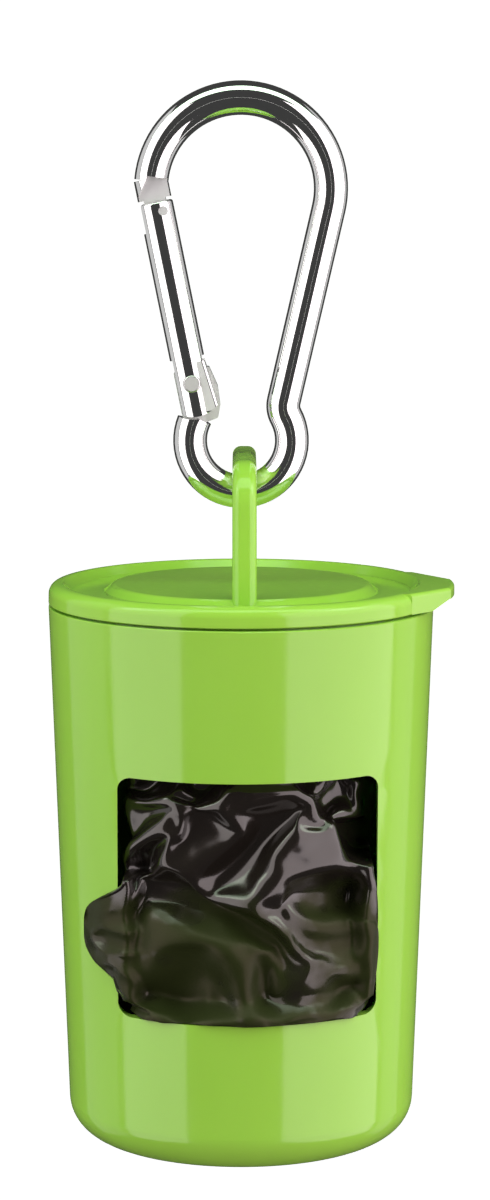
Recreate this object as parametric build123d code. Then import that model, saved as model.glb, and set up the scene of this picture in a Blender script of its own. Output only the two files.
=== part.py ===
"""Hanging dog-waste-bag dispenser: snap hook, lid with moulded loop, windowed cup and a roll of bags.

Millimetres, +Z up, the snap hook in the XZ plane. The origin is the point the part hangs by,
on the inside of the hook's bow. Sub-parts are drawn from the lid's seam and moved down at export.
"""
from build123d import *
from math import atan2, cos, degrees, radians, sin, sqrt
import os

# ---- snap hook, 50 x 25 x 4 standard size ----
WIRE_D = 4.0
BOW_R = 10.5            # centreline
BOW_Z = 48.8            # bow centre above the seam
EYE_R = 6.0             # centreline of the small lower eye
EYE_Z = 19.3
LEG_LEAN = 13.0         # degrees from vertical
NECK_R = 2.6            # centreline of the reverse bend above the eye
BOW_END = 175.0         # degrees from +X where the bow meets the gate's line
HANG_Z = BOW_Z + BOW_R - WIRE_D / 2

# ---- gate; u runs up its axis from the pivot and v inwards from the axis ----
GATE_LEAN = 11.4
PIVOT_X = -5.75
PIVOT_Z = 26.1
GATE_D = 4.1
GATE_LEN = 21.55        # pivot to the gate's upper end
GATE_TOE_R = 3.9        # lower end, rounded about the pivot
GATE_HEEL = 2.65        # how far the fork's cheeks reach inwards at the toe
SWING_GAP = 0.3
FORK_SLOT = 2.2
FORK_TOP = 3.0
TONGUE_T = 1.6
TONGUE_R = 2.4
TONGUE_BACK = 1.9       # trimmed flush inside the gate, on the outside
TONGUE_BULGE = 2.9      # how far the tongue shows past the gate, on the inside
RIVET_R = 0.75
RIVET_HEAD_R = 1.0
RIVET_HEAD_T = 0.35
RIVET_CLEAR = 0.05
NOSE_T = 1.5
NOSE_SLOT = 2.1
NOSE_LOW = 18.8
NOSE_HALF = 1.3
LATCH_U = 20.4
LATCH_V = 0.75
LATCH_R = 0.55
BORE_R = 1.25
BORE_TOP = 16.5
SPRING_WIRE = 0.3
SPRING_R = 0.95
PLUNGER_LEN = 3.8

# ---- lid ----
CUP_R = 22.8            # outer radius at the seam
SEAM_GAP = 0.3
LID_H = 2.55            # rim crest above the seam
RIM_CREST_R = 21.1
CHANNEL_Z = 1.5
CHANNEL_R = (16.2, 20.1)
PLATEAU_R = 15.2
PLATEAU_Z = 2.4
LID_UNDER_Z = 0.1
PLUG_DEPTH = 5.5
PLUG_T = 1.1
PLUG_CLEAR = 0.08
LOOP_X = 0.4
LOOP_W = 2.8
LOOP_T = 2.4
LOOP_TOP = 17.8
LOOP_FOOT_Y = 15.2      # bar centreline at the lid
LOOP_CROWN_Y = 12.6     # bar centreline under the crown
TAB_AZ = -4.0           # degrees from +X
TAB_HALF_ANGLE = 26.0
TAB_REACH = 2.45
TAB_T = 1.3

# ---- cup ----
CUP_H = 64.0
BASE_R = 20.5
WALL = 1.25
FLOOR_T = 1.5
BASE_FILLET = 4.5
WINDOW_AZ = 2.8         # degrees the window is turned from -Y towards +X
WINDOW_W = 30.0
WINDOW_TOP = -17.7
WINDOW_BOTTOM = -46.1
WINDOW_CORNER = 1.6

# ---- bags ----
ROLL_H = 58.0
CORE_R = 9.0
CORE_T = 1.0
ROLL_R = 16.4
ROLL_GAP = 0.4          # roll above the cup's floor
FILM_IN_R = 17.5
FILM_OUT_R = 19.2
FILM_HALF_ANGLE = 50.0
FILM_TOP = -14.5
FILM_BOTTOM = -49.5
TONGUE_OUT_W = 27.6     # the part of the leading bag that fills the window
TONGUE_OUT_TOP = -19.0
TONGUE_OUT_BOTTOM = -44.8
TONGUE_OUT_R = 22.3


def draft_radius(z):
    """Outer radius of the cup at height z below the seam."""
    return CUP_R + (CUP_R - BASE_R) * z / CUP_H


def turned(outline, rounds):
    """Solid of revolution from a closed (radius, height) outline, with some of its corners rounded."""
    face = make_face(Polyline(*outline, close=True))
    for corner, radius in rounds.items():
        face = fillet(face.vertices().sort_by_distance((*corner, 0))[0], radius)
    return revolve(Plane.XZ * face, axis=Axis.Z)


def leg_top():
    """Where the straight leg leaves the bow, on the +X side."""
    lean = radians(LEG_LEAN)
    return BOW_R * cos(lean), BOW_Z - BOW_R * sin(lean)


def neck_centre():
    """Centre of the bend that joins the leg to the lower eye from outside."""
    lean = radians(LEG_LEAN)
    x0, z0 = leg_top()
    px = x0 + NECK_R * cos(lean)
    pz = z0 - NECK_R * sin(lean) - EYE_Z
    dx, dz = -sin(lean), -cos(lean)
    b = px * dx + pz * dz
    c = px * px + pz * pz - (EYE_R + NECK_R) ** 2
    t = -b - sqrt(b * b - c)
    return px + t * dx, pz + t * dz + EYE_Z


def polar(cx, cz, r, angle):
    """Point in the XZ plane at an angle from +X."""
    return cx + r * cos(radians(angle)), 0, cz + r * sin(radians(angle))


def wire_path():
    """Centreline of the bent wire, from above the gate to the gate's pivot side."""
    x0, z0 = leg_top()
    nx, nz = neck_centre()
    into_eye = degrees(atan2(nz - EYE_Z, nx))
    leg_end = polar(nx, nz, NECK_R, 180 - LEG_LEAN)
    neck_mid = polar(nx, nz, NECK_R, (180 - LEG_LEAN + 180 + into_eye) / 2)
    eye_in = polar(0, EYE_Z, EYE_R, into_eye)
    bow = ThreePointArc(polar(0, BOW_Z, BOW_R, BOW_END), polar(0, BOW_Z, BOW_R, 80), (x0, 0, z0))
    leg = Line((x0, 0, z0), leg_end)
    neck = ThreePointArc(leg_end, neck_mid, eye_in)
    eye = ThreePointArc(eye_in, (0, 0, EYE_Z - EYE_R), polar(0, EYE_Z, EYE_R, 180 - into_eye))
    return Wire([bow.edge(), leg.edge(), neck.edge(), eye.edge()])


def gate_frame():
    """Plane at the pivot: local X runs up the gate (u), local Y inwards (v), local Z along +Y."""
    lean = radians(GATE_LEAN)
    up = Vector(-sin(lean), 0, cos(lean))
    return Plane(origin=(PIVOT_X, 0, PIVOT_Z), x_dir=up, z_dir=(0, 1, 0))


def plate(points, thickness):
    """Flat plate in the hook's plane, from (u, v) corners."""
    face = gate_frame() * make_face(Polyline(*points, close=True))
    return extrude(face, amount=thickness / 2, dir=(0, 1, 0), both=True)


def y_cylinder(u, v, r, length):
    """Cylinder along Y, placed in gate coordinates."""
    return gate_frame() * Pos(u, v, 0) * Cylinder(r, length)


def rod(u0, u1, r):
    """Cylinder along the gate's axis."""
    return gate_frame() * Pos((u0 + u1) / 2, 0, 0) * Rot(0, 90, 0) * Cylinder(r, u1 - u0)


def nose():
    """Wire end in line with the gate: milled flat on both sides and hooked round the latch pin."""
    shoulder_low = GATE_LEN + 0.35
    block = rod(shoulder_low, 24.3, WIRE_D / 2)
    flats = [(21, -1.75), (22.5, -1.8), (24.7, -0.25), (23.85, 2.3), (23.8, 4), (21, 4)]
    milled = plate(flats, 8) - plate(flats, NOSE_T)
    hook = plate([(NOSE_LOW, -NOSE_HALF), (22.5, -NOSE_HALF), (22.5, NOSE_HALF), (NOSE_LOW, NOSE_HALF)], NOSE_T)
    notch_end = LATCH_V - LATCH_R - 0.05
    notch = gate_frame() * Pos(LATCH_U, notch_end + 2, 0) * Box(2 * (LATCH_R + SWING_GAP), 4, 4)
    return block, milled, hook - notch


def tongue():
    """Flattened end of the wire inside the gate's fork."""
    ring = y_cylinder(0, 0, TONGUE_R, TONGUE_T)
    ring -= gate_frame() * Pos(0, -TONGUE_BACK - 2, 0) * Box(8, 4, 4)
    root = [
        (0, 0), (1.7, 1.69), (1.5, 2.35), (-0.9, TONGUE_BULGE), (-3.2, 2.75),
        (-4.6, 2.2), (-5.2, -1.6), (-3.4, -TONGUE_BACK), (0, -TONGUE_BACK),
    ]
    return ring + plate(root, TONGUE_T)


def build_frame():
    """Bent wire with the nose and the pivot tongue."""
    path = wire_path()
    wire = sweep(Plane(origin=path @ 0, z_dir=path % 0) * Circle(WIRE_D / 2), path=path)
    block, milled, hook = nose()
    wire = wire + block - milled
    wire -= y_cylinder(0, 0, GATE_TOE_R + SWING_GAP, 8)
    body = wire + hook + tongue()
    return body - y_cylinder(0, 0, RIVET_R, 8)


def build_gate():
    """Round gate, flared and forked at the pivot, slotted at the top and bored for its spring."""
    body = rod(-GATE_TOE_R, GATE_LEN, GATE_D / 2)
    body = fillet(body.edges().filter_by(GeomType.CIRCLE).sort_by(Axis.Z)[-1], 0.3)
    heel = plate([(2.4, 0), (2.4, GATE_D / 2 - 0.05), (-GATE_TOE_R, GATE_HEEL), (-GATE_TOE_R, 0)], GATE_D - 0.5)
    body += fillet(heel.edges().filter_by(lambda e: e.center().X > PIVOT_X + 2).filter_by(GeomType.LINE), 0.4)
    toe = gate_frame() * Pos(-GATE_TOE_R / 2 - 1, 0, 0) * Box(GATE_TOE_R + 2, 8, 8)
    body -= toe - y_cylinder(0, 0, GATE_TOE_R, 8)
    body -= gate_frame() * Pos(FORK_TOP - 4, 0, 0) * Box(8, 8, FORK_SLOT)
    body -= gate_frame() * Pos(21.1, -0.7, 0) * Box(6.0, 4.6, NOSE_SLOT)
    body -= rod(0, BORE_TOP, BORE_R)
    body -= y_cylinder(0, 0, RIVET_R + RIVET_CLEAR, 8)
    body -= y_cylinder(LATCH_U, LATCH_V, LATCH_R, 8)
    for side in (-1, 1):
        depth = side * (GATE_D / 2 + 1 - RIVET_HEAD_T)
        body -= gate_frame() * Pos(0, 0, depth) * Cylinder(RIVET_HEAD_R + RIVET_CLEAR, 2)
    return body


def build_rivet():
    """Pivot rivet with a low head on each side."""
    half = GATE_D / 2 + 0.1
    pin = y_cylinder(0, 0, RIVET_R, 2 * half)
    for side in (-1, 1):
        head = gate_frame() * Pos(0, 0, side * (half - RIVET_HEAD_T / 2)) * Cylinder(RIVET_HEAD_R, RIVET_HEAD_T)
        outer = head.edges().filter_by(GeomType.CIRCLE).sort_by(Axis.Y)[-1 if side > 0 else 0]
        pin += fillet(outer, 0.15)
    return pin


def build_latch_pin():
    """Cross pin in the gate's upper fork."""
    reach = sqrt((GATE_D / 2) ** 2 - LATCH_V**2) - 0.05
    return y_cylinder(LATCH_U, LATCH_V, LATCH_R, 2 * reach)


def build_plunger():
    """Plunger between the spring and the tongue."""
    low = TONGUE_R + 0.1
    head = rod(low, low + 2.2, 0.9)
    collar = rod(low + 1.4, low + 2.4, BORE_R - 0.05)
    stem = rod(low + 2.2, low + PLUNGER_LEN, 0.6)
    return head + collar + stem


def build_spring():
    """Gate spring, wound round the plunger's stem."""
    low = TONGUE_R + 0.1 + 2.4 + SPRING_WIRE / 2 + 0.05
    high = BORE_TOP - SPRING_WIRE / 2 - 0.05
    path = Helix(pitch=0.95, height=high - low, radius=SPRING_R)
    section = Plane(origin=path @ 0, z_dir=path % 0) * Circle(SPRING_WIRE / 2)
    coil = sweep(section, path=path)
    return gate_frame() * Pos(low, 0, 0) * Rot(0, 90, 0) * coil


def build_loop():
    """Stirrup-shaped loop that the hook's lower eye runs through."""
    z_top = LOOP_TOP - LOOP_T / 2
    path = FilletPolyline(
        (LOOP_X, -LOOP_FOOT_Y, LID_UNDER_Z + 0.6),
        (LOOP_X, -LOOP_CROWN_Y, z_top),
        (LOOP_X, LOOP_CROWN_Y, z_top),
        (LOOP_X, LOOP_FOOT_Y, LID_UNDER_Z + 0.6),
        radius=4.6,
    )
    section = Plane(origin=path @ 0, x_dir=(1, 0, 0), z_dir=path % 0) * RectangleRounded(
        LOOP_W, LOOP_T, 1.0
    )
    return sweep(section, path=path)


def build_tab():
    """Thumb tab: a lip blended tangentially out of the rim, thick at the root and thin at the tip."""
    tip_r = CUP_R + TAB_REACH
    half = radians(TAB_HALF_ANGLE)
    root = (CUP_R * cos(half), CUP_R * sin(half))
    knee = (tip_r - 0.35, 4.1)
    with BuildSketch() as outline:
        with BuildLine():
            Polyline((15.0, -root[1]), (root[0], -root[1]), (knee[0], -knee[1]))
            ThreePointArc((knee[0], -knee[1]), (tip_r, 0), knee)
            Polyline(knee, root, (15.0, root[1]), (15.0, -root[1]))
        make_face()
    lip = extrude(outline.sketch, amount=LID_H + 1)
    under = Plane.XZ * make_face(
        Polyline(
            (18.0, SEAM_GAP / 2), (CUP_R, SEAM_GAP / 2), (tip_r - 0.5, LID_H - TAB_T),
            (tip_r + 1, LID_H - TAB_T + 0.1), (tip_r + 1, LID_H), (18.0, LID_H), close=True,
        )
    )
    wedge = extrude(under, amount=14, both=True)
    lip &= wedge
    inner = Pos(0, 0, LID_H / 2) * Cylinder(21.2, 2 * LID_H)
    edges = lip.edges().filter_by(lambda e: e.center().X > 20.5)
    lip = fillet(edges.group_by(Axis.Z)[-1], 0.45)
    return Rot(0, 0, TAB_AZ) * (lip - inner)


def build_lid():
    """Lid: rounded rim, shallow channel, raised centre, plug flange, loop and thumb tab."""
    plug_top = draft_radius(0) - WALL - PLUG_CLEAR
    plug_low = draft_radius(-PLUG_DEPTH) - WALL - PLUG_CLEAR
    rim_top = (CUP_R - 0.05, LID_H)
    seam = (CUP_R, SEAM_GAP / 2)
    crest = (RIM_CREST_R, LID_H)
    shoulder = (PLATEAU_R, PLATEAU_Z)
    inner_floor, outer_floor = ((r, CHANNEL_Z) for r in CHANNEL_R)
    outline = [
        (0, PLATEAU_Z), shoulder, inner_floor, outer_floor, crest, rim_top, seam,
        (plug_top, SEAM_GAP / 2), (plug_low, -PLUG_DEPTH), (plug_low - PLUG_T, -PLUG_DEPTH),
        (plug_top - PLUG_T, LID_UNDER_Z), (0, LID_UNDER_Z),
    ]
    rounds = {rim_top: 1.25, crest: 0.35, shoulder: 0.9, inner_floor: 0.35, outer_floor: 0.35, seam: 0.12}
    body = turned(outline, rounds)
    foot_trim = Pos(0, 0, LID_UNDER_Z - 5) * Box(60, 60, 10)
    return body + (build_loop() - foot_trim) + build_tab()


def build_cup():
    """Drafted cup with a rounded base and a dispensing window."""
    base = (BASE_R, -CUP_H)
    rim = [(CUP_R, -SEAM_GAP / 2), (CUP_R - WALL, -SEAM_GAP / 2)]
    floor_edge = (BASE_R - WALL + 0.05, FLOOR_T - CUP_H)
    rounds = {base: BASE_FILLET, floor_edge: BASE_FILLET - WALL, rim[0]: 0.15, rim[1]: 0.15}
    body = turned([(0, -CUP_H), base, *rim, floor_edge, (0, FLOOR_T - CUP_H)], rounds)
    middle = (WINDOW_TOP + WINDOW_BOTTOM) / 2
    opening = extrude(
        Plane(origin=(0, 0, middle), x_dir=(1, 0, 0), z_dir=(0, -1, 0))
        * RectangleRounded(WINDOW_W, WINDOW_TOP - WINDOW_BOTTOM, WINDOW_CORNER),
        amount=40,
    )
    return body - Rot(0, 0, WINDOW_AZ) * opening


def build_core():
    """Card tube the bags are wound on."""
    low = FLOOR_T - CUP_H + ROLL_GAP
    return Pos(0, 0, low + ROLL_H / 2) * (
        Cylinder(CORE_R, ROLL_H) - Cylinder(CORE_R - CORE_T, ROLL_H + 2)
    )


def build_roll():
    """Wound bags, a hair shorter than the tube so its card rim shows."""
    low = FLOOR_T - CUP_H + ROLL_GAP
    winding = Cylinder(ROLL_R, ROLL_H - 0.8)
    winding = fillet(winding.edges().filter_by(GeomType.CIRCLE), 0.6)
    return Pos(0, 0, low + ROLL_H / 2) * (winding - Cylinder(CORE_R + 0.05, ROLL_H + 2))


def ring_sector(r_in, r_out, half_angle, z0, z1):
    """Sector of a ring centred on -Y."""
    ring = Cylinder(r_out, z1 - z0) - Cylinder(r_in, z1 - z0 + 2)
    reach = 60.0
    side = reach * sin(radians(half_angle)) / cos(radians(half_angle))
    wedge = extrude(make_face(Polyline((0, 0), (side, -reach), (-side, -reach), close=True)), z1 - z0 + 2)
    return Pos(0, 0, (z0 + z1) / 2) * (ring & Pos(0, 0, -(z1 - z0 + 2) / 2) * wedge)


def build_leading_bag():
    """Loose first bag: spread behind the window and pushed out through it."""
    back = ring_sector(FILM_IN_R, FILM_OUT_R, FILM_HALF_ANGLE, FILM_BOTTOM, FILM_TOP)
    front = Pos(0, 0, (TONGUE_OUT_TOP + TONGUE_OUT_BOTTOM) / 2) * (
        Cylinder(TONGUE_OUT_R, TONGUE_OUT_TOP - TONGUE_OUT_BOTTOM)
        - Cylinder(FILM_IN_R + 0.2, 60)
    )
    front &= Pos(0, -20, (TONGUE_OUT_TOP + TONGUE_OUT_BOTTOM) / 2) * Box(TONGUE_OUT_W, 30, 60)
    return Rot(0, 0, WINDOW_AZ) * (back + front)


PARTS = {
    "carabiner_frame": build_frame,
    "gate_pivot_rivet": build_rivet,
    "carabiner_gate": build_gate,
    "gate_latch_pin": build_latch_pin,
    "gate_plunger": build_plunger,
    "gate_spring": build_spring,
    "lid": build_lid,
    "cup": build_cup,
    "roll_core": build_core,
    "bag_roll": build_roll,
    "leading_bag": build_leading_bag,
}

os.makedirs("parts", exist_ok=True)
for name, build in PARTS.items():
    solid = Pos(0, 0, -HANG_Z) * build()
    export_step(solid, f"parts/{name}.step")
    box = solid.bounding_box()
    print(name, "solids", len(solid.solids()), "volume", round(solid.volume, 2),
          "z", round(box.min.Z, 2), round(box.max.Z, 2), "x", round(box.min.X, 2), round(box.max.X, 2))
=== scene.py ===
import bmesh
import bpy
from math import asin, atan2, cos, exp, pi, radians, sin, tan
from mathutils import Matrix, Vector
from mathutils import noise as noise3


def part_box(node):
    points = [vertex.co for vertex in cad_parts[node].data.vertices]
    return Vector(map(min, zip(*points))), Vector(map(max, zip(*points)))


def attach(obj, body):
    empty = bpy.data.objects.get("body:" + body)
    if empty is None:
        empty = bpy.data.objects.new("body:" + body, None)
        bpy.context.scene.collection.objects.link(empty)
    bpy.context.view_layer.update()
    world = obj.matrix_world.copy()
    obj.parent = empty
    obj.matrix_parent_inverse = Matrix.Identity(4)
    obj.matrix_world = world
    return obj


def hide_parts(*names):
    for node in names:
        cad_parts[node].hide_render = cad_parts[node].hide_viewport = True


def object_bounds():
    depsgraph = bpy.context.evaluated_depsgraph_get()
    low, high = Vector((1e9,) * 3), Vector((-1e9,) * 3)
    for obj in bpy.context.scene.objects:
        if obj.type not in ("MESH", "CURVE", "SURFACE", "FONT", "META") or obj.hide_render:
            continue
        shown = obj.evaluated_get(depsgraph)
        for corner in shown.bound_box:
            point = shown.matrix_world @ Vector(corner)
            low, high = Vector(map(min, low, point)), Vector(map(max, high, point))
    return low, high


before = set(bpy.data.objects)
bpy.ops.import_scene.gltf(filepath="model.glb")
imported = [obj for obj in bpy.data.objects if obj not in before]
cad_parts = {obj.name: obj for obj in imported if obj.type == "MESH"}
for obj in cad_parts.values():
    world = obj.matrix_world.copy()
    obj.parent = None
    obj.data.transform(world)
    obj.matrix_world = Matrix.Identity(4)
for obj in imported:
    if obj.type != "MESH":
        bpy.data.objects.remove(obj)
CAD_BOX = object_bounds()

MM = 0.001
LOW, HIGH = CAD_BOX
CUP_LOW, CUP_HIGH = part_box("cup")
CUP_R = (CUP_HIGH[0] - CUP_LOW[0]) / 2
BAG_LOW, BAG_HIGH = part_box("leading_bag")
WINDOW_Z = (BAG_LOW[2] + BAG_HIGH[2]) / 2       # the loose bag fills the window's height


def add_object(name, data):
    """Object in the scene, from a mesh, a light or a camera."""
    thing = bpy.data.objects.new(name, data)
    bpy.context.collection.objects.link(thing)
    return thing


# ---- materials ----

def new_material(name):
    """A material with one Principled shader, and the functions that link and add its nodes."""
    material = bpy.data.materials.new(name)
    material.use_nodes = True
    tree = material.node_tree
    tree.nodes.clear()
    output = tree.nodes.new("ShaderNodeOutputMaterial")
    shader = tree.nodes.new("ShaderNodeBsdfPrincipled")
    tree.links.new(shader.outputs[0], output.inputs[0])

    def add(kind, **settings):
        node = tree.nodes.new(kind)
        for key, value in settings.items():
            setattr(node, key, value)
        return node

    return material, tree.links.new, add, shader


def noise(add, link, coords, scale, detail=4.0, rough=0.5, stretch=(1, 1, 1)):
    """Noise of a given scale per metre."""
    mapping = add("ShaderNodeMapping")
    mapping.inputs["Scale"].default_value = stretch
    link(coords, mapping.inputs["Vector"])
    texture = add("ShaderNodeTexNoise")
    texture.inputs["Scale"].default_value = scale
    texture.inputs["Detail"].default_value = detail
    texture.inputs["Roughness"].default_value = rough
    link(mapping.outputs[0], texture.inputs["Vector"])
    return texture.outputs["Fac"]


def ramp(add, link, fac, stops):
    """Colour ramp through (position, colour) stops."""
    node = add("ShaderNodeValToRGB")
    elements = node.color_ramp.elements
    while len(elements) < len(stops):
        elements.new(0.5)
    for element, (position, colour) in zip(elements, stops):
        element.position = position
        element.color = (*colour, 1) if len(colour) == 3 else colour
    link(fac, node.inputs[0])
    return node.outputs[0]


def grey(value):
    return (value, value, value)


def maths(add, link, operation, *values):
    """Output of a maths node whose inputs are numbers or other nodes' outputs."""
    node = add("ShaderNodeMath", operation=operation)
    for socket, value in zip(node.inputs, values):
        if isinstance(value, (int, float)):
            socket.default_value = value
        else:
            link(value, socket)
    return node.outputs[0]


def fade(add, link, value, start, end):
    """0 to 1 as a value goes from start to end, in metres."""
    node = add("ShaderNodeMapRange")
    node.inputs["From Min"].default_value = start
    node.inputs["From Max"].default_value = end
    link(value, node.inputs["Value"])
    return node.outputs[0]


def bump(add, link, height, strength, distance, normal=None):
    """Bump node; distance in metres."""
    node = add("ShaderNodeBump")
    node.inputs["Strength"].default_value = strength
    node.inputs["Distance"].default_value = distance
    link(height, node.inputs["Height"])
    if normal:
        link(normal, node.inputs["Normal"])
    return node.outputs[0]


def moulded_plastic(name, dark, light, waviness):
    """Glossy injection-moulded plastic: faint flow in the colour, slow waves and a fine skin."""
    material, link, add, shader = new_material(name)
    coords = add("ShaderNodeTexCoord").outputs["Object"]
    flow = noise(add, link, coords, 60, 3, 0.5, (1, 1, 0.35))
    link(ramp(add, link, flow, [(0.35, dark), (0.65, light)]), shader.inputs["Base Color"])
    scuffs = noise(add, link, coords, 900, 6, 0.7, (1, 1, 0.2))
    link(ramp(add, link, scuffs, [(0.45, grey(0.10)), (0.75, grey(0.20))]), shader.inputs["Roughness"])
    slow = noise(add, link, coords, 45, 2, 0.4)
    fine = noise(add, link, coords, 2600, 3, 0.6)
    waves = bump(add, link, slow, waviness, 0.0006)
    link(bump(add, link, fine, 0.025, 0.00003, waves), shader.inputs["Normal"])
    shader.inputs["IOR"].default_value = 1.5
    shader.inputs["Subsurface Weight"].default_value = 0.15
    shader.inputs["Subsurface Radius"].default_value = (0.0012, 0.0018, 0.0005)
    shader.inputs["Subsurface Scale"].default_value = 1.0
    return material


FLAT_FACING = 0.99999           # a surface that faces the hook's front or back this squarely is milled
FLAT_ROUGHNESS = 0.62


def polished_metal(name, colour, rough, waviness):
    """Bright plated steel: polishing lines, a slightly uneven surface and duller milled flats."""
    material, link, add, shader = new_material(name)
    space = add("ShaderNodeTexCoord")
    coords = space.outputs["Object"]
    lines = noise(add, link, coords, 700, 5, 0.6, (1, 6, 0.3))
    low = [c * 0.93 for c in colour]
    link(ramp(add, link, lines, [(0.3, low), (0.7, colour)]), shader.inputs["Base Color"])
    wear = noise(add, link, coords, 1400, 5, 0.65)
    polish = ramp(add, link, wear, [(0.35, grey(rough)), (0.8, grey(rough * 2.5 + 0.03))])
    facing = add("ShaderNodeSeparateXYZ")
    link(space.outputs["Normal"], facing.inputs[0])
    across = maths(add, link, "ABSOLUTE", facing.outputs["Y"])
    finish = add("ShaderNodeMix")
    link(maths(add, link, "GREATER_THAN", across, FLAT_FACING), finish.inputs["Factor"])
    link(polish, finish.inputs["A"])
    finish.inputs["B"].default_value = FLAT_ROUGHNESS
    link(finish.outputs["Result"], shader.inputs["Roughness"])
    slow = noise(add, link, coords, 160, 2, 0.5)
    link(bump(add, link, slow, waviness, 0.0004), shader.inputs["Normal"])
    shader.inputs["Metallic"].default_value = 1.0
    return material


def card_board(name):
    """Grey-brown card with short fibres."""
    material, link, add, shader = new_material(name)
    coords = add("ShaderNodeTexCoord").outputs["Object"]
    fibres = noise(add, link, coords, 1500, 8, 0.75, (1, 1, 0.25))
    link(
        ramp(add, link, fibres, [(0.3, (0.30, 0.21, 0.13)), (0.7, (0.50, 0.38, 0.25))]),
        shader.inputs["Base Color"],
    )
    link(bump(add, link, fibres, 0.5, 0.00012), shader.inputs["Normal"])
    shader.inputs["Roughness"].default_value = 0.85
    return material


PAINTED_GREEN_CAST_UP = (-3, 11)             # where the painted green light from the cup gives way to brown black: above the window's middle,
PAINTED_GREEN_CAST_ACROSS = (-15.5, -11)     # and across from the axis, both in millimetres
# painted green light from the cup, not the film's own colour; the film's own colour is the brown black
PAINTED_GREEN_CAST = (0.020, 0.026, 0.007)
BROWN_BLACK = (0.013, 0.010, 0.008)


def film(name):
    """Thin black film: brown black and glossy, with painted olive green light from the cup and duller
    towards the bottom and the left.
    """
    material, link, add, shader = new_material(name)
    coords = add("ShaderNodeTexCoord").outputs["Object"]
    place = add("ShaderNodeSeparateXYZ")
    link(coords, place.inputs[0])
    upward = fade(add, link, place.outputs["Z"], *(WINDOW_Z + z * MM for z in PAINTED_GREEN_CAST_UP))
    sideways = fade(add, link, place.outputs["X"], *(x * MM for x in PAINTED_GREEN_CAST_ACROSS))
    level = maths(add, link, "MINIMUM", upward, sideways)
    # low where the painted green light from the cup shows and the film is dull, high where it is its own
    # glossy brown black
    cast_and_dull_fade = maths(add, link, "MULTIPLY_ADD", noise(add, link, coords, 140, 3, 0.5), 1.2, level)
    link(ramp(add, link, cast_and_dull_fade, [(0.62, PAINTED_GREEN_CAST), (0.88, BROWN_BLACK)]), shader.inputs["Base Color"])
    haze = noise(add, link, coords, 420, 5, 0.65)
    gloss = ramp(add, link, haze, [(0.35, grey(0.10)), (0.75, grey(0.24))])
    dull = ramp(add, link, cast_and_dull_fade, [(0.60, grey(0.38)), (0.88, grey(0.0))])
    link(ramp(add, link, cast_and_dull_fade, [(0.62, grey(0.0)), (0.88, grey(1.0))]), shader.inputs["Coat Weight"])
    link(maths(add, link, "MAXIMUM", gloss, dull), shader.inputs["Roughness"])
    fine = noise(add, link, coords, 2400, 4, 0.6, (1, 1, 3))
    link(bump(add, link, fine, 0.3, 0.00006), shader.inputs["Normal"])
    shader.inputs["IOR"].default_value = 1.3
    shader.inputs["Specular Tint"].default_value = (1.0, 0.74, 0.62, 1)
    shader.inputs["Coat IOR"].default_value = 1.6
    shader.inputs["Coat Roughness"].default_value = 0.14
    return material


GREEN_DARK = (0.32, 0.60, 0.065)
GREEN_LIGHT = (0.34, 0.63, 0.075)
LID_DARK = (0.32, 0.61, 0.060)
LID_LIGHT = (0.35, 0.64, 0.070)
STEEL = (0.92, 0.92, 0.91)
materials = {
    "cup": moulded_plastic("green_cup", GREEN_DARK, GREEN_LIGHT, 0.05),
    "lid": moulded_plastic("green_lid", LID_DARK, LID_LIGHT, 0.04),
    "carabiner_frame": polished_metal("polished_wire", STEEL, 0.03, 0.04),
    "carabiner_gate": polished_metal("polished_gate", STEEL, 0.04, 0.06),
    "gate_pivot_rivet": polished_metal("rivet_metal", (0.78, 0.77, 0.76), 0.18, 0.2),
    "gate_latch_pin": polished_metal("pin_metal", (0.88, 0.88, 0.87), 0.15, 0.1),
    "gate_plunger": polished_metal("plunger_metal", (0.62, 0.62, 0.62), 0.2, 0.1),
    "gate_spring": polished_metal("spring_metal", (0.42, 0.42, 0.41), 0.25, 0.1),
    "roll_core": card_board("core_card"),
    "bag_roll": film("wound_film"),
    "leading_bag": film("loose_film"),
}
for node, material in materials.items():
    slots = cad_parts[node].material_slots
    for slot in slots:
        slot.material = material
    if not slots:
        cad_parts[node].data.materials.append(material)


# ---- bag film ----

WINDOW_TURN = radians(2.8)      # the window's middle, from -Y towards +X
WINDOW_HALF_W = 15.0            # the window and the wall are as in the solids
WINDOW_HALF_H = 14.2
WALL = 1.25
DRAFT = 2.3 / 64                # radius lost per millimetre of depth
ROLL_LOW, ROLL_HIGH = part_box("bag_roll")
ROLL_R = (ROLL_HIGH[0] - ROLL_LOW[0]) / 2 / MM
SIM_SCALE = 20                  # cloth is simulated this many times larger, where its solver is stable
FILM_R = 19.3                   # the loose film hangs at this radius, between the roll and the wall
ROLL_GAP = 0.5                  # least distance from the film to the roll
WALL_GAP = 0.35                 # and to the inside of the wall
BULGE = 1.4                     # in the window the film may swell this much more than the wall is thick
EASE = 0.6                      # depth over which the film is eased to its limit


def cup_radius(z):
    """Outer radius of the cup, z above the window's middle."""
    return (CUP_R - DRAFT * (CUP_HIGH[2] - WINDOW_Z - z * MM)) / MM


def film_place(angle, r, z):
    """Point in the shared frame from an angle off the window's middle, a radius and a height."""
    a = angle + WINDOW_TURN
    return Vector((r * sin(a) * MM, -r * cos(a) * MM, WINDOW_Z + z * MM))


def lumps(x, y, seed):
    """Smooth noise between -1 and 1, the same in every run."""
    return noise3.noise(Vector((x, y, seed)))


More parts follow.
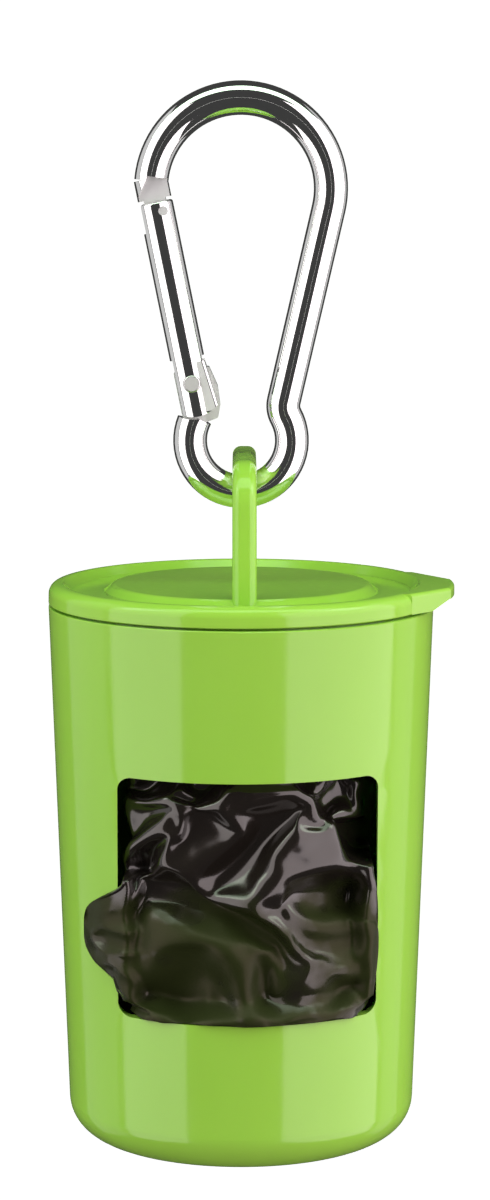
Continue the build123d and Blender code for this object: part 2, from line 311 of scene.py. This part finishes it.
def grid_mesh(name, columns, rows, point):
    """Mesh grid whose vertices come from point(across, up), both from 0 to 1."""
    points = [point(i / columns, j / rows) for j in range(rows + 1) for i in range(columns + 1)]
    wide = columns + 1
    faces = [
        (j * wide + i, j * wide + i + 1, (j + 1) * wide + i + 1, (j + 1) * wide + i)
        for j in range(rows)
        for i in range(columns)
    ]
    mesh = bpy.data.meshes.new(name)
    mesh.from_pydata(points, [], faces)
    mesh.polygons.foreach_set("use_smooth", [True] * len(faces))
    flat = mesh.uv_layers.new(name="flat")
    for corner, loop in zip(flat.data, mesh.loops):
        row, column = divmod(loop.vertex_index, wide)
        corner.uv = (column / columns, row / rows)
    return mesh


def sim_point(angle, r, z):
    """Point for the simulation, which is centred on the window's height and enlarged."""
    k = MM * SIM_SCALE
    return (r * sin(angle) * k, -r * cos(angle) * k, z * k)


def add_collider(name, radius, half_height, inward):
    """Cylinder that the film presses on, from outside or, when inward, from inside."""

    def point(across, up):
        return sim_point(2 * pi * across, radius, half_height * (2 * up - 1))

    mesh = grid_mesh(name, 96, 24, point)
    if inward:
        mesh.flip_normals()
    thing = add_object(name, mesh)
    thing.modifiers.new("press", "COLLISION")
    thing.collision.thickness_outer = 0.004
    thing.collision.thickness_inner = 0.01
    thing.collision.cloth_friction = 8
    return thing


FILM_FLAT = (42, 40)            # the loose film, cut flat
FILM_GATHERED = (34, 32)        # the span its edges are drawn in to
FILM_CELLS = (38, 36)
FILM_SEED = 7
FILM_FRAMES = 40
FILM_REST = 12                  # frames left to settle in once the edges are drawn in
BROAD_FOLDS = 1.6               # depth of the soft creases that the flat film starts with
CROSS_FOLDS = 0.96
FILM_TURN = radians(3)          # the film sits a little right of the window's middle
LAP_ROOT = 0.3                  # share of the film's width that a lap draws on
SIDE_LAPS = ((-1, -12.2, 3.0, 3.9), (1, -12.0, 4.5, 0.1))   # side, height range and reach past the edge
CLIMB_START = 3.2               # the film starts to climb to the wall this far before the window's edge
CLIMB_RUN = 2.6
SIDE_LIFT = 0.35                # typical and least distance of a side lap from the wall
LEAST_LIFT = 0.15
SILL_LIFT = 0.12                # distance of the bottom edge from the wall's surface
SILL_SPAN = 15.2                # it comes forward this far to each side of the middle
SILL_GAP = 0.25                 # it ends this far above the window's lower edge,
SILL_RISE = 0.9                 # and this much higher at its corners


def flat_film_point(across, up):
    """The film before it is gathered: a curved sheet with a few soft creases."""
    s, z = (across - 0.5) * FILM_FLAT[0], (up - 0.5) * FILM_FLAT[1]
    broad = lumps(s * 0.05 + z * 0.05, z * 0.06 - s * 0.04, FILM_SEED + 20)
    cross = lumps(s * 0.10 - z * 0.06, z * 0.10 + s * 0.05, FILM_SEED + 30)
    r = FILM_R - 0.2 + BROAD_FOLDS * (0.5 - 2.2 * abs(broad)) + CROSS_FOLDS * (0.4 - 2.0 * abs(cross))
    return sim_point(s / FILM_R, r, z)


def gathered_edge_point(across, up, i, j):
    """Where a point of the film's edge ends up once the film is stuffed behind the window."""
    angle = (across - 0.5) * FILM_GATHERED[0] / FILM_R + 0.05 * lumps(i * 0.13, j * 0.13, FILM_SEED + 9)
    z = (up - 0.5) * FILM_GATHERED[1] + 1.2 * lumps(i * 0.11, j * 0.15, FILM_SEED + 2)
    r = FILM_R - 0.9 + 0.8 * lumps(i * 0.2, j * 0.2, FILM_SEED + 4)
    return sim_point(angle, r, z)


def gather_film(film, frames):
    """Draws the film's edges in, so that it crumples between the roll and the cup's wall."""
    columns, rows = FILM_CELLS
    wide = columns + 1
    edge = [
        j * wide + i
        for j in range(rows + 1)
        for i in range(wide)
        if i in (0, columns) or j in (0, rows)
    ]
    film.vertex_groups.new(name="edge").add(edge, 1.0, "REPLACE")
    film.shape_key_add(name="Basis")
    key = film.shape_key_add(name="gathered")
    for index in edge:
        j, i = divmod(index, wide)
        key.data[index].co = gathered_edge_point(i / columns, j / rows, i, j)
    key.keyframe_insert("value", frame=1)
    key.value = 1
    key.keyframe_insert("value", frame=frames - FILM_REST)
    cloth = film.modifiers.new("cloth", "CLOTH")
    settings = cloth.settings
    settings.quality = 6
    settings.mass = 0.12
    settings.air_damping = 2
    settings.tension_stiffness = 18
    settings.compression_stiffness = 18
    settings.shear_stiffness = 8
    settings.bending_stiffness = 1.0
    settings.tension_damping = 6
    settings.compression_damping = 6
    settings.shear_damping = 6
    settings.bending_damping = 0.6
    settings.vertex_group_mass = "edge"
    settings.effector_weights.gravity = 0
    cloth.collision_settings.distance_min = 0.005
    cloth.collision_settings.use_self_collision = True
    cloth.collision_settings.self_distance_min = 0.006
    cloth.point_cache.frame_end = frames
    for frame_number in range(1, frames + 1):
        bpy.context.scene.frame_set(frame_number)
    settled = film.evaluated_get(bpy.context.evaluated_depsgraph_get())
    return bpy.data.meshes.new_from_object(settled)


def smooth_step(x):
    """0 to 1 as x goes from 0 to 1, level at both ends."""
    x = min(max(x, 0.0), 1.0)
    return x * x * (3 - 2 * x)


def between(x, low, high):
    """0 outside low to high and a round arch inside."""
    return sin(pi * min(max((x - low) / (high - low), 0.0), 1.0))


def stay_inside(x, r, z):
    """Radius that keeps the film off the roll and the wall, and lets it bulge in the window."""
    inside = min(WINDOW_HALF_W - abs(x), WINDOW_HALF_H - abs(z))
    behind_wall = cup_radius(z) - WALL - WALL_GAP
    limit = behind_wall + (WALL + BULGE) * smooth_step((inside - 0.2) / 2.5)
    soft = limit - EASE
    if r > soft:
        r = soft + EASE * (1 - exp((soft - r) / EASE))
    return max(r, ROLL_R + ROLL_GAP)


def climb(pulled, wander):
    """0 behind the window's edge and 1 on the wall; pulled is how far past the edge the film is."""
    return smooth_step((pulled + CLIMB_START + wander) / CLIMB_RUN)


def lap_sideways(x, r, z, across):
    """Pulls the film's side edges forward: the left one over the cup's wall, the right one to the edge."""
    for side, low, high, reach in SIDE_LAPS:
        from_edge = (across if side < 0 else 1 - across) / LAP_ROOT
        arch = between(z, low, high)
        if from_edge >= 1 or arch <= 0:
            continue
        out = -0.5 + (reach + 0.5) * smooth_step((arch - 0.2) / 0.8)
        own = side * x - WINDOW_HALF_W
        pulled = out + (own - out) * smooth_step(from_edge)
        crease = 0.5 - 2 * abs(lumps(0.16 * x + 0.25 * z, 0.3 * x - 0.1 * z, 5))
        puff = between(from_edge, 0.0, 0.7) * arch
        lift = SIDE_LIFT + 0.12 * reach * (puff + 1.6 * crease * arch) + 0.2 * (r - FILM_R)
        lift = max(LEAST_LIFT, lift)
        wander = 0.9 * lumps(0.22 * z, 3.3 + side, 6)
        share = smooth_step(arch / 0.2)
        x = side * (WINDOW_HALF_W + own + (pulled - own) * share)
        r += (cup_radius(z) + lift - r) * (climb(pulled, wander) * share)
    return x, r


def lap_down(x, r, z, up):
    """Brings the film's bottom edge forward to the wall's surface, just above the window's lower edge."""
    arch = between(x, -SILL_SPAN, SILL_SPAN)
    if up >= LAP_ROOT or arch <= 0:
        return r, z
    share = smooth_step(arch / 0.35)
    out = -SILL_GAP - SILL_RISE * (1 - share)
    own = -z - WINDOW_HALF_H
    pulled = out + (own - out) * smooth_step(up / LAP_ROOT)
    wander = 1.2 * lumps(0.2 * x, 7.7, 6)
    over = climb(pulled, wander) * share
    r += (cup_radius(z) + SILL_LIFT + 0.15 * (r - ROLL_R) - r) * over
    return r, -(WINDOW_HALF_H + pulled)


def film_vertex(point, across, up):
    """Final place of a vertex of the simulated film."""
    x, y, z = (c / (MM * SIM_SCALE) for c in point)
    r = (x * x + y * y) ** 0.5
    x = r * sin(atan2(x, -y) + FILM_TURN)
    r = stay_inside(x, r, z)
    x, r = lap_sideways(x, r, z, across)
    r, z = lap_down(x, r, z, up)
    return film_place(asin(x / r), r, z)


def refined(thing, levels):
    """Mesh of an object smoothed by subdivision; the object itself is removed."""
    thing.modifiers.new("smooth", "SUBSURF").levels = levels
    mesh = bpy.data.meshes.new_from_object(thing.evaluated_get(bpy.context.evaluated_depsgraph_get()))
    bpy.data.objects.remove(thing)
    return mesh


def add_leading_bag():
    """The loose first bag, crumpled behind the window, with a corner pulled out over the wall."""
    film = add_object("flat_film", grid_mesh("flat_film", *FILM_CELLS, flat_film_point))
    colliders = [
        add_collider("roll_press", ROLL_R + 0.2, 40, False),
        add_collider("wall_press", FILM_R + 2.4, 30, True),
    ]
    settled = gather_film(film, FILM_FRAMES)
    for thing in (film, *colliders):
        bpy.data.objects.remove(thing)
    film = add_object("settled_film", settled)
    mesh = refined(film, 2)
    places = [None] * len(mesh.vertices)
    for corner, loop in zip(mesh.uv_layers["flat"].data, mesh.loops):
        places[loop.vertex_index] = corner.uv
    for vertex, (across, up) in zip(mesh.vertices, places):
        vertex.co = film_vertex(vertex.co, across, up)
    mesh.materials.append(materials["leading_bag"])
    film = add_object("leading_bag_film", mesh)
    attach(film, "cup")
    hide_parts("leading_bag")


# ---- bag roll ----

ROLL_HALF = (ROLL_HIGH[2] - ROLL_LOW[2]) / 2 / MM
ROLL_Z = (ROLL_HIGH[2] + ROLL_LOW[2]) / 2
CORE_R = (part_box("roll_core")[1][0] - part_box("roll_core")[0][0]) / 2 / MM
ROLL_STEPS = 160
ROLL_LAYERS = 22                # turns that show on the roll's ends
SIDE_RINGS = 27
END_ROUNDING = 1.6              # the roll's side stops this far short of its ends


def roll_outline():
    """Half outline of the wound film from the core's top edge round to its bottom edge."""
    pitch = (ROLL_R - CORE_R - 0.5) / ROLL_LAYERS
    top = []
    for k in range(ROLL_LAYERS + 1):
        r = CORE_R + 0.06 + k * pitch
        ragged, rounded = abs(lumps(k * 0.37, 4.1, 8)), max(0, k / ROLL_LAYERS - 0.86)
        edge = ROLL_HALF - 0.15 - 0.75 * ragged - 1.2 * rounded
        top += [(r, edge - 0.22), (r + 0.3 * pitch, edge), (r + 0.75 * pitch, edge)]
    side = [
        (ROLL_R - 0.12, (0.5 - i / (SIDE_RINGS - 1)) * 2 * (ROLL_HALF - END_ROUNDING))
        for i in range(SIDE_RINGS)
    ]
    return top + side + [(r, -z) for r, z in reversed(top)]


def roll_point(r, z, turn):
    """Point of the roll's surface: slack outer turns, and the step where the last bag ends."""
    angle = 2 * pi * turn
    wind = (r - CORE_R) / (ROLL_R - CORE_R)
    slack = 0.22 * lumps(3 * sin(angle), 3 * cos(angle), z * 0.05) * wind
    crease = 0.16 * (0.5 - 1.6 * abs(lumps(9 * sin(angle), 9 * cos(angle), z * 0.22))) * wind
    r -= 0.28 * turn * wind + 0.12 - slack - crease
    r = max(r, CORE_R + 0.04)
    z += 0.22 * lumps(2.5 * sin(angle), 2.5 * cos(angle), r * 0.8)
    return (r * sin(angle) * MM, -r * cos(angle) * MM, ROLL_Z + z * MM)


def add_bag_roll():
    """The wound bags: film layers at both ends and a loosely wound outer turn."""
    outline = roll_outline()
    points = [roll_point(r, z, i / ROLL_STEPS) for r, z in outline for i in range(ROLL_STEPS)]
    rings = len(outline)
    faces = []
    for k in range(rings):
        here, below = k * ROLL_STEPS, (k + 1) % rings * ROLL_STEPS
        for i in range(ROLL_STEPS):
            j = (i + 1) % ROLL_STEPS
            faces.append((here + i, here + j, below + j, below + i))
    mesh = bpy.data.meshes.new("wound_bags")
    mesh.from_pydata(points, [], faces)
    mesh.polygons.foreach_set("use_smooth", [True] * len(faces))
    mesh.materials.append(materials["bag_roll"])
    edit = bmesh.new()
    edit.from_mesh(mesh)
    bmesh.ops.recalc_face_normals(edit, faces=edit.faces)
    edit.to_mesh(mesh)
    edit.free()
    roll = add_object("wound_bags", mesh)
    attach(roll, "roll")
    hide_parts("bag_roll")


# ---- surroundings ----

def sweep_backdrop():
    """Pale floor well below the object that curves up into a wall on every side of it."""
    drop, radius, bend, height = 1.3, 3.0, 1.2, 5.0
    bend_steps, steps = 12, 96
    floor_z = LOW[2] - drop
    outline = [(0.0, 0.0), (radius - bend, 0.0)]
    outline += [
        (radius - bend + bend * sin(a), bend - bend * cos(a))
        for a in (radians(step * 90 / bend_steps) for step in range(1, bend_steps + 1))
    ]
    outline.append((radius, height))
    points = [(0, 0, floor_z)]
    faces = []
    for r, z in outline[1:]:
        points += [
            (r * sin(2 * pi * i / steps), r * cos(2 * pi * i / steps), floor_z + z) for i in range(steps)
        ]
    for i in range(steps):
        faces.append((0, 1 + i, 1 + (i + 1) % steps))
    for ring in range(len(outline) - 2):
        base = 1 + ring * steps
        for i in range(steps):
            j = (i + 1) % steps
            faces.append((base + i, base + steps + i, base + steps + j, base + j))
    mesh = bpy.data.meshes.new("backdrop")
    mesh.from_pydata(points, [], faces)
    mesh.polygons.foreach_set("use_smooth", [True] * len(mesh.polygons))
    backdrop = add_object("backdrop", mesh)
    material, _, _, shader = new_material("backdrop_paper")
    shader.inputs["Base Color"].default_value = (0.9, 0.9, 0.9, 1)
    shader.inputs["Roughness"].default_value = 0.9
    shader.inputs["Emission Color"].default_value = (1, 1, 1, 1)
    shader.inputs["Emission Strength"].default_value = 0.8
    mesh.materials.append(material)
    backdrop.visible_glossy = False
    backdrop.visible_diffuse = False
    backdrop.visible_shadow = False


def softbox(name, azimuths, elevations, distance, radiance, colour=(1, 1, 1)):
    """Soft light that fills a span of directions. Azimuth 0 is in front (-Y), positive to the right."""
    azimuth, half_width = radians(sum(azimuths) / 2), radians(azimuths[1] - azimuths[0]) / 2
    elevation, half_height = radians(sum(elevations) / 2), radians(elevations[1] - elevations[0]) / 2
    middle = Vector((0, 0, (LOW[2] + HIGH[2]) / 2))
    out = Vector((sin(azimuth) * cos(elevation), -cos(azimuth) * cos(elevation), sin(elevation)))
    data = bpy.data.lights.new(name, "AREA")
    data.shape = "RECTANGLE"
    data.size = 2 * distance * tan(half_width)
    data.size_y = 2 * distance * tan(half_height)
    data.energy = 4 * radiance * data.size * data.size_y
    data.color = colour
    light = add_object(name, data)
    light.location = middle + distance * out
    light.rotation_euler = out.to_track_quat("Z", "Y").to_euler()
    light.visible_camera = False


def set_world(strength):
    """Even white light from every side."""
    world = bpy.data.worlds.new("studio")
    bpy.context.scene.world = world
    world.use_nodes = True
    background = world.node_tree.nodes["Background"]
    background.inputs[0].default_value = (1, 1, 1, 1)
    background.inputs[1].default_value = strength


CAMERA_PLACE = (0, -0.417, 0.0005)
CAMERA_DOWN = 7.85              # degrees below level
CAMERA_LENS = 106.5             # for a sensor 36 wide
CAMERA_SHIFT = 1 / 300          # share of the frame's longer side


def add_camera():
    """Long lens, about level with the top of the hook and looking slightly down."""
    data = bpy.data.cameras.new("camera")
    data.sensor_width = 36
    data.lens = CAMERA_LENS
    data.shift_x = CAMERA_SHIFT
    camera = add_object("camera", data)
    camera.location = CAMERA_PLACE
    camera.rotation_euler = (radians(90 - CAMERA_DOWN), 0, 0)
    bpy.context.scene.camera = camera
    bpy.context.scene.view_settings.view_transform = "Standard"


SIDE_LIGHTS = (-38, 48)         # lower and upper edge of the lights at the sides

sweep_backdrop()
set_world(0.05)
softbox("left_softbox", (-84, -35), SIDE_LIGHTS, 1.0, 1.5, (1, 0.96, 0.96))
softbox("right_softbox", (26, 103), SIDE_LIGHTS, 1.0, 1.7, (1, 0.91, 0.95))
softbox("left_rim_light", (-126, -88), SIDE_LIGHTS, 1.3, 0.45)
softbox("right_rim_light", (106, 128), SIDE_LIGHTS, 1.3, 0.4)
softbox("top_softbox", (-60, 60), (58, 86), 1.4, 2.2, (0.76, 1, 0.76))
add_camera()
add_leading_bag()
add_bag_roll()
